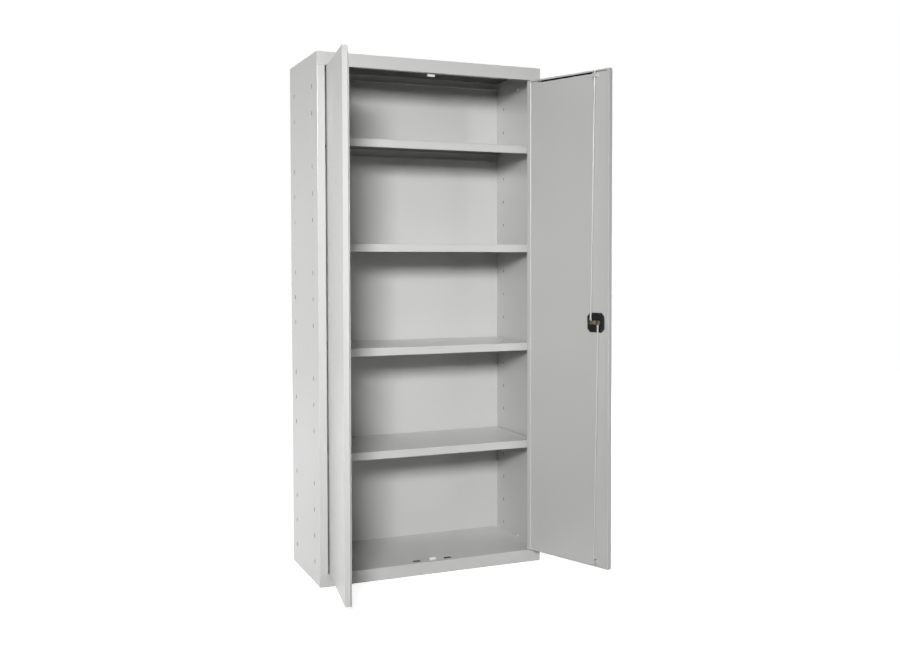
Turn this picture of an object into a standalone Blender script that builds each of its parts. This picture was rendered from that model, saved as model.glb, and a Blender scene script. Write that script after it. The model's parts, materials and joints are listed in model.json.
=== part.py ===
"""Two-door storage cabinet in folded sheet steel, in metres, +Z up, front towards -Y.

The origin is the middle of the lip on which the plinth stands. The doors are built shut,
each about its own pivot line, and their empties hold them open.
"""

import math

import bmesh
import bpy

for old_object in list(bpy.data.objects):
    bpy.data.objects.remove(old_object, do_unlink=True)

# Body of the cabinet
HEIGHT = 2.0
WIDTH = 0.92
DEPTH = 0.42
SHEET = 0.001
FIT_GAP = 0.0003
BEND_RADIUS = 0.002
OVERRUN = 0.002

# Front frame: stiles, fascia and plinth
STILE_WIDTH = 0.031
STILE_LIP = 0.020
FASCIA_HEIGHT = 0.050
FASCIA_RETURN = 0.025
FASCIA_UPTURN = 0.012
PLINTH_HEIGHT = 0.0475
FLOOR_LIP = 0.025

# Rear edges of the body panels
REAR_FLANGE = 0.018
TOP_REAR_DROP = 0.032
TOP_REAR_LIP = 0.009
TOP_REAR_UPTURN = 0.007
BASE_REAR_DROP = 0.035
PAN_FLANGE_DROP = 0.020
PAN_FLANGE_THICKNESS = 0.0015
BACK_FOOT_CLEARANCE = 0.010

# Slotted columns in the side panels
SLOT_PITCH = 0.100
SLOT_LOWEST = 0.080
SLOT_TOP_ROOM = 0.115
SLOT_HEIGHT = 0.014
SLOT_DEPTH = 0.005
SLOT_FRONT_INSET = 0.075
SLOT_REAR_INSET = 0.070
SIDE_HOLE_DIAMETER = 0.0065
SIDE_HOLE_TOP_INSET = 0.055
SIDE_HOLE_BOTTOM_INSET = 0.052

# Shelves, hung on clips in the slots
SHELF_SLOTS = (16, 12, 8, 4)
SHELF_SIDE_CLEARANCE = 0.005
SHELF_FRONT_INSET = 0.037
SHELF_REAR_CLEARANCE = 0.004
SHELF_FLANGE = 0.031
SHELF_LIP = 0.012
SHELF_SIDE_FLANGE = 0.020
SHELF_RISE = 0.011
CLIP_THICKNESS = 0.0015
CLIP_WIDTH = 0.014
CLIP_LEDGE = 0.014
CLIP_TONGUE_HEIGHT = 0.009
CLIP_TONGUE_WIDTH = 0.003

# Doors
DOOR_GAP = 0.003
DOOR_THICKNESS = 0.020
PIVOT_EDGE_INSET = 0.0065
PIVOT_FRONT_INSET = 0.005
LEFT_REST_ANGLE = math.radians(98.0)
RIGHT_REST_ANGLE = math.radians(110.5)
HINGE_SIDE_LIP = 0.020
FREE_SIDE_LIP = 0.012
DOOR_TOP_LIP = 0.0075
DOOR_BOTTOM_LIP = 0.005
LIP_RETURN = 0.0045
LINER_DEPTH = 0.012
LINER_RECESS = 0.003
LINER_TOP_GAP = 0.0015
LINER_SLIT = 0.0045
SLIT_HINGE_INSET = 0.060
SLIT_FREE_INSET = 0.070
STRIP_REACH = 0.015
STRIP_SEAT = 0.014
STRIP_THICKNESS = 0.0012
STRIP_TOP_INSET = 0.024
STRIP_BOTTOM_INSET = 0.001

# Pivot pins and the bushes that turn on them
PIN_RADIUS = 0.002
PIN_HEAD_RADIUS = 0.0034
PIN_HEAD_HEIGHT = 0.002
PIN_REACH = 0.009
BUSH_RADIUS = 0.0034
BUSH_COLLAR_RADIUS = 0.0045
BUSH_LENGTH = 0.011

# Door stops on the middle of the fascia and of the floor
STOP_WIDTH = 0.030
STOP_HEIGHT = 0.010
STOP_DEPTH = 0.012
STOP_CLEARANCE = 0.0006

# Floor slots for the lower locking rod, one for each hand of door
ROD_SLOT_WIDTH = 0.024
ROD_SLOT_DEPTH = 0.013
ROD_SLOT_OFFSET = 0.065
ROD_SLOT_FRONT_INSET = 0.024

# Lock in the right-hand door
LOCK_HEIGHT = 0.990
LOCK_FREE_INSET = 0.062
DISH_WIDTH = 0.080
DISH_HEIGHT = 0.074
DISH_CHAMFER = 0.013
DISH_WALL = 0.0025
DISH_FLOOR = 0.0035
DISH_RIM = 0.005
DISH_RIM_THICKNESS = 0.0016
DISH_BACK_REACH = 0.003
GRIP_RADIUS = 0.023
GRIP_DISC_HEIGHT = 0.005
GRIP_BAR_WIDTH = 0.020
GRIP_BAR_HEIGHT = 0.0105
GRIP_FLOOR_GAP = 0.0005
CYLINDER_RADIUS = 0.0080
CYLINDER_LENGTH = 0.012
CYLINDER_STAND_OUT = 0.0008
KEYWAY_WIDTH = 0.0016
KEYWAY_HEIGHT = 0.0075
KEYWAY_DEPTH = 0.005
SPINDLE_RADIUS = 0.0045
SPINDLE_COLLAR_RADIUS = 0.007
SPINDLE_COLLAR_LENGTH = 0.0024
SPINDLE_END = 0.0012
CAM_THICKNESS = 0.0025
CAM_END_RADIUS = 0.009
CAM_WAIST = 0.0084
CAM_THROW = 0.018
CAM_PIN_RADIUS = 0.003
CAM_PIN_LENGTH = 0.0055
NUT_WIDTH = 0.013
NUT_THICKNESS = 0.0042

# Locking rods and their guides
ROD_RADIUS = 0.0035
ROD_STAND_OFF = 0.010
ROD_EYE_RADIUS = 0.0062
ROD_EYE_THICKNESS = 0.003
ROD_NECK_WIDTH = 0.008
ROD_NECK_START = 0.0095
ROD_NECK_OVERLAP = 0.006
ROD_TIP_CHAMFER = 0.0015
ROD_TIP_INSET = 0.005
GUIDE_HEIGHT = 0.015
GUIDE_EDGE_INSET = 0.014
GUIDE_SHEET = 0.0012
GUIDE_FOOT = 0.006
GUIDE_CLEARANCE = 0.0004
GUIDE_PLAY = 0.0042

# Facets
BEND_STEPS = 3
EDGE_STEPS = 2
ROUND_STEPS = 16
LOCK_STEPS = 24
SLOT_STEPS = 6
SMOOTH_ANGLE = math.radians(40.0)

# Places worked out from the sizes above
FRONT_Y = -FLOOR_LIP / 2
REAR_Y = FRONT_Y + DEPTH
HALF_WIDTH = WIDTH / 2
WEB_INNER = HALF_WIDTH - SHEET
OPENING_HALF = HALF_WIDTH - STILE_WIDTH
FASCIA_LOW = HEIGHT - FASCIA_HEIGHT
SLOT_COUNT = int((HEIGHT - SLOT_TOP_ROOM - SLOT_LOWEST) / SLOT_PITCH) + 1
BACK_FRONT_Y = REAR_Y - 2 * SHEET - FIT_GAP
PAN_REAR_Y = BACK_FRONT_Y - FIT_GAP
PAN_HALF = HALF_WIDTH - BEND_RADIUS - FIT_GAP
DOOR_WIDTH = (2 * OPENING_HALF - 3 * DOOR_GAP) / 2
DOOR_LOW = PLINTH_HEIGHT + DOOR_GAP
DOOR_HIGH = FASCIA_LOW - DOOR_GAP
PIVOT_X = OPENING_HALF - DOOR_GAP - PIVOT_EDGE_INSET
PIVOT_Y = FRONT_Y + PIVOT_FRONT_INSET
DOOR_FREE_X = PIVOT_EDGE_INSET - DOOR_WIDTH
DOOR_FACE_Y = -PIVOT_FRONT_INSET
DOOR_BACK_Y = DOOR_FACE_Y + DOOR_THICKNESS
LINER_FACE_Y = DOOR_BACK_Y - LINER_RECESS
DISH_BACK_Y = DOOR_BACK_Y + DISH_BACK_REACH
GRIP_BACK_Y = DISH_BACK_Y - DISH_FLOOR - GRIP_FLOOR_GAP
GRIP_FACE_Y = GRIP_BACK_Y - GRIP_DISC_HEIGHT - GRIP_BAR_HEIGHT
CAM_FRONT_Y = DISH_BACK_Y + FIT_GAP + SPINDLE_COLLAR_LENGTH + FIT_GAP
CAM_BACK_Y = CAM_FRONT_Y + CAM_THICKNESS
ROD_Y = DOOR_BACK_Y + ROD_STAND_OFF
ROD_UP_RUN = DOOR_HIGH - ROD_TIP_INSET - LOCK_HEIGHT
ROD_DOWN_RUN = LOCK_HEIGHT - DOOR_LOW - ROD_TIP_INSET


def make_material(name, colour, roughness, metallic=0.0):
    """A plain surface in the colour that the piece has."""
    material = bpy.data.materials.new(name)
    material.use_nodes = True
    shader = material.node_tree.nodes["Principled BSDF"]
    shader.inputs["Base Color"].default_value = (*colour, 1.0)
    shader.inputs["Roughness"].default_value = roughness
    shader.inputs["Metallic"].default_value = metallic
    return material


POWDER_COAT = make_material("light_grey_powder_coat", (0.62, 0.63, 0.63), 0.42)
WHITE_PLASTIC = make_material("white_plastic", (0.86, 0.86, 0.84), 0.45)
BLACK_PLASTIC = make_material("black_plastic", (0.02, 0.02, 0.022), 0.5)
ZINC_STEEL = make_material("zinc_plated_steel", (0.55, 0.55, 0.54), 0.35, 1.0)
YELLOW_ZINC = make_material("yellow_passivated_steel", (0.48, 0.33, 0.15), 0.4, 1.0)
NICKEL = make_material("nickel_plated_brass", (0.66, 0.64, 0.60), 0.25, 1.0)


def add_object(name, bm, material, parent):
    """Close a bmesh into a named object, with its faces pointing out."""
    bmesh.ops.recalc_face_normals(bm, faces=bm.faces)
    mesh = bpy.data.meshes.new(name)
    bm.to_mesh(mesh)
    bm.free()
    mesh.shade_smooth()
    mesh.set_sharp_from_angle(angle=SMOOTH_ANGLE)
    mesh.materials.append(material)
    solid = bpy.data.objects.new(name, mesh)
    bpy.context.scene.collection.objects.link(solid)
    solid.parent = parent
    return solid


def in_space(point, axis, along):
    """Put an outline's point in space, on a plane square to the axis."""
    first, second = point
    places = {"X": (along, first, second), "Y": (first, along, second), "Z": (first, second, along)}
    return places[axis]


def add_prism(bm, outline, axis, start, end):
    """Extrude an outline along an axis, closed at both ends."""
    lower = [bm.verts.new(in_space(point, axis, start)) for point in outline]
    upper = [bm.verts.new(in_space(point, axis, end)) for point in outline]
    bm.faces.new(lower)
    bm.faces.new(upper)
    count = len(outline)
    for index in range(count):
        after = (index + 1) % count
        bm.faces.new((lower[index], lower[after], upper[after], upper[index]))


def prism(name, outline, axis, start, end, material, parent=None):
    bm = bmesh.new()
    add_prism(bm, outline, axis, start, end)
    return add_object(name, bm, material, parent)


def rectangle(first, second):
    """The four corners between two opposite ones."""
    (left, low), (right, high) = first, second
    return [(left, low), (right, low), (right, high), (left, high)]


def box(name, low, high, material, parent=None):
    return prism(name, rectangle(low[:2], high[:2]), "Z", low[2], high[2], material, parent)


def turned(name, profile, material, parent=None, axis="Z", steps=ROUND_STEPS, bored=False):
    """Turn a profile of (radius, place along the axis) into a round solid, or a bored one."""
    bm = bmesh.new()
    rings = []
    for radius, along in profile:
        angles = [2 * math.pi * step / steps for step in range(steps)]
        points = [(radius * math.cos(angle), radius * math.sin(angle)) for angle in angles]
        rings.append([bm.verts.new(in_space(point, axis, along)) for point in points])
    pairs = list(zip(rings, rings[1:]))
    if bored:
        pairs.append((rings[-1], rings[0]))
    else:
        bm.faces.new(rings[0])
        bm.faces.new(rings[-1])
    for ring, following in pairs:
        for step in range(steps):
            after = (step + 1) % steps
            bm.faces.new((ring[step], ring[after], following[after], following[step]))
    return add_object(name, bm, material, parent)


def shape_with(solid, tool, operation="DIFFERENCE"):
    """Cut a tool out of a solid, or join it on, and keep the tool out of the model."""
    modifier = solid.modifiers.new(tool.name, "BOOLEAN")
    modifier.operation = operation
    modifier.solver = "EXACT"
    modifier.object = tool
    tool.hide_render = True
    tool.display_type = "WIRE"


def round_edges(solid, radius, steps=BEND_STEPS):
    """Round every edge, as a brake or a mould leaves it."""
    modifier = solid.modifiers.new("rounded_edges", "BEVEL")
    modifier.width = radius
    modifier.segments = steps
    modifier.limit_method = "ANGLE"


def folded_outline(path, thickness=SHEET, radius=BEND_RADIUS):
    """The section of a folded sheet: path is its outer face, with the metal on its left."""
    outer, inner = [], []
    for index, (x, y) in enumerate(path):
        before = path[max(index - 1, 0)]
        after = path[min(index + 1, len(path) - 1)]
        heading_in = math.atan2(y - before[1], x - before[0])
        heading_out = math.atan2(after[1] - y, after[0] - x)
        if index == 0:
            headings, corner = [heading_out], (x, y)
        elif index == len(path) - 1:
            headings, corner = [heading_in], (x, y)
        else:
            turn = (heading_out - heading_in + math.pi) % (2 * math.pi) - math.pi
            setback = radius / math.cos(turn / 2)
            bisector = heading_in + turn / 2 + math.pi / 2
            corner = (x + setback * math.cos(bisector), y + setback * math.sin(bisector))
            headings = [heading_in + turn * step / BEND_STEPS for step in range(BEND_STEPS + 1)]
        arm = 0.0 if index in (0, len(path) - 1) else radius
        for heading in headings:
            right = (math.sin(heading), -math.cos(heading))
            outer.append((corner[0] + arm * right[0], corner[1] + arm * right[1]))
            reach = arm - thickness
            inner.append((corner[0] + reach * right[0], corner[1] + reach * right[1]))
    return outer + inner[::-1]


def mirrored(outline, side):
    return [(side * first, second) for first, second in outline]


def octagon(width, height, chamfer):
    """A rectangle about the origin with its corners cut off."""
    half_w, half_h = width / 2, height / 2
    return [
        (half_w, -half_h + chamfer), (half_w, half_h - chamfer),
        (half_w - chamfer, half_h), (-half_w + chamfer, half_h),
        (-half_w, half_h - chamfer), (-half_w, -half_h + chamfer),
        (-half_w + chamfer, -half_h), (half_w - chamfer, -half_h),
    ]


def arc(centre, radius, first, last, steps):
    """Points along an arc, both ends included."""
    angles = [first + (last - first) * step / steps for step in range(steps + 1)]
    return [(centre[0] + radius * math.cos(a), centre[1] + radius * math.sin(a)) for a in angles]


def disc_outline(centre, radius, steps=ROUND_STEPS):
    return arc(centre, radius, 0.0, 2 * math.pi, steps)[:-1]


def slot_height(number):
    """The middle of a slot, counted up from the lowest."""
    return SLOT_LOWEST + number * SLOT_PITCH


SLOT_COLUMNS = (FRONT_Y + SLOT_FRONT_INSET, REAR_Y - SLOT_REAR_INSET)


def slot_outline(y, z):
    """A half-moon slot, straight on the side towards the front."""
    half = SLOT_HEIGHT / 2
    bow = arc((0.0, 0.0), 1.0, math.pi / 2, -math.pi / 2, SLOT_STEPS)
    return [(y + SLOT_DEPTH * across, z + half * up) for across, up in bow]


def side_panel(name, side):
    """One sheet: web, front stile with its return lip, and rear flange."""
    path = [
        (OPENING_HALF, FRONT_Y + STILE_LIP), (OPENING_HALF, FRONT_Y), (HALF_WIDTH, FRONT_Y),
        (HALF_WIDTH, REAR_Y), (HALF_WIDTH - REAR_FLANGE, REAR_Y),
    ]
    panel = prism(name, mirrored(folded_outline(path), side), "Z", 0.0, HEIGHT, POWDER_COAT)
    trims = bmesh.new()
    for low, high in ((-OVERRUN, PLINTH_HEIGHT + FIT_GAP), (FASCIA_LOW - FIT_GAP, HEIGHT + OVERRUN)):
        corner = (side * (HALF_WIDTH - BEND_RADIUS), FRONT_Y - OVERRUN)
        inner = (side * (OPENING_HALF - OVERRUN), FRONT_Y + STILE_LIP + OVERRUN)
        add_prism(trims, rectangle(corner, inner), "Z", low, high)
    shape_with(panel, add_object(name + "_trims", trims, POWDER_COAT, None))
    holes = bmesh.new()
    reach = (side * (WEB_INNER - OVERRUN), side * (HALF_WIDTH + OVERRUN))
    for column in SLOT_COLUMNS:
        for number in range(SLOT_COUNT):
            add_prism(holes, slot_outline(column, slot_height(number)), "X", *reach)
    for height in (HEIGHT - SIDE_HOLE_TOP_INSET, SIDE_HOLE_BOTTOM_INSET):
        middle = ((FRONT_Y + REAR_Y) / 2, height)
        add_prism(holes, disc_outline(middle, SIDE_HOLE_DIAMETER / 2), "X", *reach)
    shape_with(panel, add_object(name + "_holes", holes, POWDER_COAT, None))
    return panel


def back_panel():
    """A flat sheet held inside the rear flanges of the sides."""
    low = (-PAN_HALF, BACK_FRONT_Y, BACK_FOOT_CLEARANCE)
    high = (PAN_HALF, BACK_FRONT_Y + SHEET, HEIGHT)
    return box("back_panel", low, high, POWDER_COAT)


def add_end_flanges(panel, top):
    """The flanges by which a cross panel is welded to the two webs."""
    for side, end in ((-1, "left"), (1, "right")):
        low = (side * (WEB_INNER - FIT_GAP - PAN_FLANGE_THICKNESS), FRONT_Y + BEND_RADIUS + FIT_GAP,
               top - PAN_FLANGE_DROP)
        high = (side * (WEB_INNER - FIT_GAP), PAN_REAR_Y, top)
        flange = box(panel.name + "_flange_" + end, low, high, POWDER_COAT)
        shape_with(panel, flange, "UNION")


def pin_hole_tool(name, side, z):
    centre = (side * PIVOT_X, PIVOT_Y)
    outline = disc_outline(centre, PIN_RADIUS + FIT_GAP)
    return prism(name, outline, "Z", z - SHEET - OVERRUN, z + SHEET + OVERRUN, POWDER_COAT)


def top_panel():
    """Top sheet with the fascia folded down in front and a hooked flange behind."""
    rear_low = HEIGHT - TOP_REAR_DROP
    path = [
        (PAN_REAR_Y - TOP_REAR_LIP, rear_low + TOP_REAR_UPTURN), (PAN_REAR_Y - TOP_REAR_LIP, rear_low),
        (PAN_REAR_Y, rear_low), (PAN_REAR_Y, HEIGHT), (FRONT_Y, HEIGHT), (FRONT_Y, FASCIA_LOW),
        (FRONT_Y + FASCIA_RETURN, FASCIA_LOW), (FRONT_Y + FASCIA_RETURN, FASCIA_LOW + FASCIA_UPTURN),
    ]
    panel = prism("top_panel", folded_outline(path), "X", -PAN_HALF, PAN_HALF, POWDER_COAT)
    add_end_flanges(panel, HEIGHT)
    for side, hand in ((-1, "left"), (1, "right")):
        shape_with(panel, pin_hole_tool("top_pin_hole_" + hand, side, FASCIA_LOW))
    return panel


def bottom_panel():
    """Floor sheet with the plinth folded down in front, slotted for the locking rod."""
    path = [
        (PAN_REAR_Y, PLINTH_HEIGHT - BASE_REAR_DROP), (PAN_REAR_Y, PLINTH_HEIGHT),
        (FRONT_Y, PLINTH_HEIGHT), (FRONT_Y, 0.0), (FRONT_Y + FLOOR_LIP, 0.0),
    ]
    panel = prism("bottom_panel", folded_outline(path), "X", -PAN_HALF, PAN_HALF, POWDER_COAT)
    add_end_flanges(panel, PLINTH_HEIGHT)
    for side, hand in ((-1, "left"), (1, "right")):
        shape_with(panel, pin_hole_tool("floor_pin_hole_" + hand, side, PLINTH_HEIGHT))
        low_y = FRONT_Y + ROD_SLOT_FRONT_INSET
        middle = side * ROD_SLOT_OFFSET
        high_y = low_y + ROD_SLOT_DEPTH
        low = (middle - ROD_SLOT_WIDTH / 2, low_y, PLINTH_HEIGHT - SHEET - OVERRUN)
        high = (middle + ROD_SLOT_WIDTH / 2, high_y, PLINTH_HEIGHT + OVERRUN)
        shape_with(panel, box("rod_slot_" + hand, low, high, POWDER_COAT))
    return panel


def shelf(name, slot_number):
    """A tray turned upside down: deck, four flanges, and lips front and rear."""
    top = slot_height(slot_number) + SHELF_RISE
    half = WEB_INNER - SHELF_SIDE_CLEARANCE
    front, rear = FRONT_Y + SHELF_FRONT_INSET, BACK_FRONT_Y - SHELF_REAR_CLEARANCE
    low = top - SHELF_FLANGE
    tray = box(name, (-half, front, low), (half, rear, top), POWDER_COAT)
    round_edges(tray, BEND_RADIUS, EDGE_STEPS)
    ceiling, lip_top = top - SHEET, low + SHEET
    hollow = [
        (front + SHEET, ceiling), (front + SHEET, lip_top), (front + SHELF_LIP, lip_top),
        (front + SHELF_LIP, low - OVERRUN), (rear - SHELF_LIP, low - OVERRUN),
        (rear - SHELF_LIP, lip_top), (rear - SHEET, lip_top), (rear - SHEET, ceiling),
    ]
    inner = half - SHEET
    shape_with(tray, prism(name + "_hollow", hollow, "X", -inner, inner, POWDER_COAT))
    side_low = top - SHELF_SIDE_FLANGE
    reach = half + OVERRUN
    relief = rectangle((front + SHELF_LIP, low - OVERRUN), (rear - SHELF_LIP, side_low))
    shape_with(tray, prism(name + "_side_relief", relief, "X", -reach, reach, POWDER_COAT))
    return tray


def shelf_clip(name, side, column, slot_number):
    """A folded clip: tongue in the slot, plate on the web, ledge under the shelf's flange."""
    slot_z = slot_height(slot_number)
    ledge_top = slot_z + SHELF_RISE - SHELF_SIDE_FLANGE - FIT_GAP
    outer = WEB_INNER - FIT_GAP
    plate = outer - CLIP_THICKNESS
    high = slot_z + CLIP_TONGUE_HEIGHT / 2
    outline = [
        (outer, high), (plate, high), (plate, ledge_top), (outer - CLIP_LEDGE, ledge_top),
        (outer - CLIP_LEDGE, ledge_top - CLIP_THICKNESS), (outer, ledge_top - CLIP_THICKNESS),
    ]
    middle = column + SLOT_DEPTH / 2
    span = (middle - CLIP_WIDTH / 2, middle + CLIP_WIDTH / 2)
    clip = prism(name, mirrored(outline, side), "Y", *span, ZINC_STEEL)
    low = (side * (plate + CLIP_THICKNESS / 2), column + FIT_GAP, slot_z - CLIP_TONGUE_HEIGHT / 2)
    top = (side * (HALF_WIDTH - FIT_GAP), column + FIT_GAP + CLIP_TONGUE_WIDTH, high - FIT_GAP)
    shape_with(clip, box(name + "_tongue", low, top, ZINC_STEEL), "UNION")
    return clip


def door_pivot(name, side, angle):
    """The line on which a door turns, set at the angle at which the door stands open."""
    pivot = bpy.data.objects.new(name, None)
    bpy.context.scene.collection.objects.link(pivot)
    pivot.location = (side * PIVOT_X, PIVOT_Y, 0.0)
    pivot.rotation_euler = (0.0, 0.0, side * angle)
    return pivot


def door_box(name, side, low, high, material, parent):
    """A box on a door, whose x is counted outwards from the pivot line."""
    near = (side * low[0], low[1], low[2])
    far = (side * high[0], high[1], high[2])
    return box(name, near, far, material, parent)


def lock_outline(side, grow):
    """The outline of the lock's dish, in place on a door and grown all round."""
    centre_x = DOOR_FREE_X + LOCK_FREE_INSET
    chamfer = DISH_CHAMFER + grow * (2 - math.sqrt(2))
    shape = octagon(DISH_WIDTH + 2 * grow, DISH_HEIGHT + 2 * grow, chamfer)
    return [(side * (centre_x + x), LOCK_HEIGHT + z) for x, z in shape]


def lip_opening(name, side, low, high, parent):
    """The hole in the back of a pan, flared at its mouth, which leaves its lips rolled over."""
    quarter = [math.pi / 2 * step / BEND_STEPS for step in range(BEND_STEPS + 1)]
    rings = [(0.0, -LIP_RETURN - OVERRUN)]
    rings += [(BEND_RADIUS * (1 - math.cos(a)), BEND_RADIUS * (math.sin(a) - 1)) for a in quarter]
    rings.append((BEND_RADIUS, OVERRUN))
    bm = bmesh.new()
    loops = []
    for grow, back in rings:
        corners = rectangle((low[0] - grow, low[1] - grow), (high[0] + grow, high[1] + grow))
        loops.append([bm.verts.new((side * x, DOOR_BACK_Y + back, z)) for x, z in corners])
    bm.faces.new(loops[0])
    bm.faces.new(loops[-1])
    for loop, following in zip(loops, loops[1:]):
        for index in range(len(loop)):
            after = (index + 1) % len(loop)
            bm.faces.new((loop[index], loop[after], following[after], following[index]))
    return add_object(name, bm, POWDER_COAT, parent)


def door_skin(name, side, parent, locked):
    """The outer pan of a door: its back edges turn in as lips, and these roll over in a hem."""
    low = (DOOR_FREE_X, DOOR_FACE_Y, DOOR_LOW)
    high = (PIVOT_EDGE_INSET, DOOR_BACK_Y, DOOR_HIGH)
    skin = door_box(name, side, low, high, POWDER_COAT, parent)
    round_edges(skin, BEND_RADIUS, EDGE_STEPS)
    pocket_low = [value + SHEET for value in low]
    pocket_high = [value - SHEET for value in high]
    shape_with(skin, door_box(name + "_pocket", side, pocket_low, pocket_high, POWDER_COAT, parent))
    open_low = (DOOR_FREE_X + FREE_SIDE_LIP, DOOR_LOW + DOOR_BOTTOM_LIP)
    open_high = (PIVOT_EDGE_INSET - HINGE_SIDE_LIP, DOOR_HIGH - DOOR_TOP_LIP)
    hem_low = (open_low[0] - BEND_RADIUS, DOOR_BACK_Y - LIP_RETURN, open_low[1] - BEND_RADIUS)
    hem_high = (open_high[0] + BEND_RADIUS, DOOR_BACK_Y - SHEET / 2, open_high[1] + BEND_RADIUS)
    shape_with(skin, door_box(name + "_hem", side, hem_low, hem_high, POWDER_COAT, parent), "UNION")
    shape_with(skin, lip_opening(name + "_opening", side, open_low, open_high, parent))
    for end, height in (("bottom", DOOR_LOW), ("top", DOOR_HIGH)):
        outline = disc_outline((0.0, 0.0), BUSH_RADIUS + FIT_GAP)
        tool = prism(name + "_bush_hole_" + end, outline, "Z", height - SHEET - OVERRUN,
                     height + SHEET + OVERRUN, POWDER_COAT, parent)
        shape_with(skin, tool)
    if locked:
        tool = prism(name + "_lock_hole", lock_outline(side, FIT_GAP), "Y", DOOR_FACE_Y - OVERRUN,
                     DOOR_FACE_Y + SHEET + OVERRUN, POWDER_COAT, parent)
        shape_with(skin, tool)
    return skin


def door_liner(name, side, parent, locked):
    """The inner sheet, a shallow tray set back a little between the hemmed lips of the pan."""
    bottom = DOOR_LOW + DOOR_BOTTOM_LIP + FIT_GAP
    top = DOOR_HIGH - DOOR_TOP_LIP - LINER_TOP_GAP
    low = (DOOR_FREE_X + FREE_SIDE_LIP + FIT_GAP, LINER_FACE_Y - LINER_DEPTH, bottom)
    high = (PIVOT_EDGE_INSET - HINGE_SIDE_LIP - FIT_GAP, LINER_FACE_Y, top)
    liner = door_box(name, side, low, high, POWDER_COAT, parent)
    hollow_low = (low[0] + SHEET, low[1] - OVERRUN, low[2] + SHEET)
    hollow_high = (high[0] - SHEET, high[1] - SHEET, high[2] - SHEET)
    shape_with(liner, door_box(name + "_hollow", side, hollow_low, hollow_high, POWDER_COAT, parent))
    slit_low = (DOOR_FREE_X + SLIT_FREE_INSET, low[1] - OVERRUN, high[2] - LINER_SLIT)
    slit_high = (PIVOT_EDGE_INSET - SLIT_HINGE_INSET, high[1] + OVERRUN, high[2] + OVERRUN)
    shape_with(liner, door_box(name + "_slit", side, slit_low, slit_high, POWDER_COAT, parent))
    if locked:
        tool = prism(name + "_lock_hole", lock_outline(side, FIT_GAP), "Y",
                     LINER_FACE_Y - SHEET - OVERRUN, LINER_FACE_Y + OVERRUN, POWDER_COAT, parent)
        shape_with(liner, tool)
    return liner


def overlap_strip(side, parent):
    """The flat bar behind the free edge, which covers the joint between the shut doors."""
    seat = DOOR_BACK_Y + FIT_GAP
    low = (DOOR_FREE_X - STRIP_REACH, seat, DOOR_LOW + STRIP_BOTTOM_INSET)
    high = (DOOR_FREE_X + STRIP_SEAT, seat + STRIP_THICKNESS, DOOR_HIGH - STRIP_TOP_INSET)
    return door_box("overlap_strip", side, low, high, POWDER_COAT, parent)


def pivot_pin(name, side, face, up):
    """A headed pin through the fascia's return or the floor, pointing into the door."""
    head = face - up * (SHEET + FIT_GAP)
    profile = [
        (PIN_HEAD_RADIUS, head - up * PIN_HEAD_HEIGHT), (PIN_HEAD_RADIUS, head),
        (PIN_RADIUS, head), (PIN_RADIUS, face + up * (DOOR_GAP + PIN_REACH)),
    ]
    pin = turned(name, profile, ZINC_STEEL)
    pin.location = (side * PIVOT_X, PIVOT_Y, 0.0)
    return pin


def pivot_bush(name, face, into, parent):
    """A collared bush in a door's edge, turning on the pin and filling the door's gap."""
    bore = PIN_RADIUS + FIT_GAP
    collar = face - into * FIT_GAP
    outer = face - into * (DOOR_GAP - FIT_GAP)
    inner = face + into * BUSH_LENGTH
    profile = [
        (bore, outer), (BUSH_COLLAR_RADIUS, outer), (BUSH_COLLAR_RADIUS, collar),
        (BUSH_RADIUS, collar), (BUSH_RADIUS, inner), (bore, inner),
    ]
    return turned(name, profile, WHITE_PLASTIC, parent, bored=True)


def door_stop(name, low_z):
    """A moulded block behind the overlap strip, which meets it when the left door is shut."""
    front = FRONT_Y + DOOR_THICKNESS + FIT_GAP + STRIP_THICKNESS + STOP_CLEARANCE
    low = (-STOP_WIDTH / 2, front, low_z)
    high = (STOP_WIDTH / 2, front + STOP_DEPTH, low_z + STOP_HEIGHT)
    stop = box(name, low, high, WHITE_PLASTIC)
    round_edges(stop, BEND_RADIUS / 2, EDGE_STEPS)
    return stop


def joint_empty(name, location, parent, turn=0.0):
    """A turning point on the door: its y axis is the axis of the joint."""
    point = bpy.data.objects.new(name, None)
    bpy.context.scene.collection.objects.link(point)
    point.parent = parent
    point.location = location
    point.rotation_euler = (0.0, turn, 0.0)
    return point


def lock_dish(parent):
    """The moulded dish: a rim in front of the skin and a cup through the whole door."""
    seat = DOOR_FACE_Y - FIT_GAP
    front = seat - DISH_RIM_THICKNESS
    floor = DISH_BACK_Y - DISH_FLOOR
    cup = octagon(DISH_WIDTH, DISH_HEIGHT, DISH_CHAMFER)
    dish = prism("lock_dish", cup, "Y", front, DISH_BACK_Y, BLACK_PLASTIC, parent)
    flange = octagon(DISH_WIDTH + 2 * DISH_RIM, DISH_HEIGHT + 2 * DISH_RIM, DISH_CHAMFER + DISH_RIM / 2)
    rim = prism("dish_rim", flange, "Y", front, seat, BLACK_PLASTIC, parent)
    shape_with(dish, rim, "UNION")
    inside = octagon(DISH_WIDTH - 2 * DISH_WALL, DISH_HEIGHT - 2 * DISH_WALL, DISH_CHAMFER - DISH_WALL / 2)
    recess = prism("dish_recess", inside, "Y", front - OVERRUN, floor, BLACK_PLASTIC, parent)
    shape_with(dish, recess)
    hole = disc_outline((0.0, 0.0), SPINDLE_RADIUS + FIT_GAP, LOCK_STEPS)
    bore = prism("dish_bore", hole, "Y", floor - OVERRUN, DISH_BACK_Y + OVERRUN, BLACK_PLASTIC, parent)
    shape_with(dish, bore)
    return dish


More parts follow.
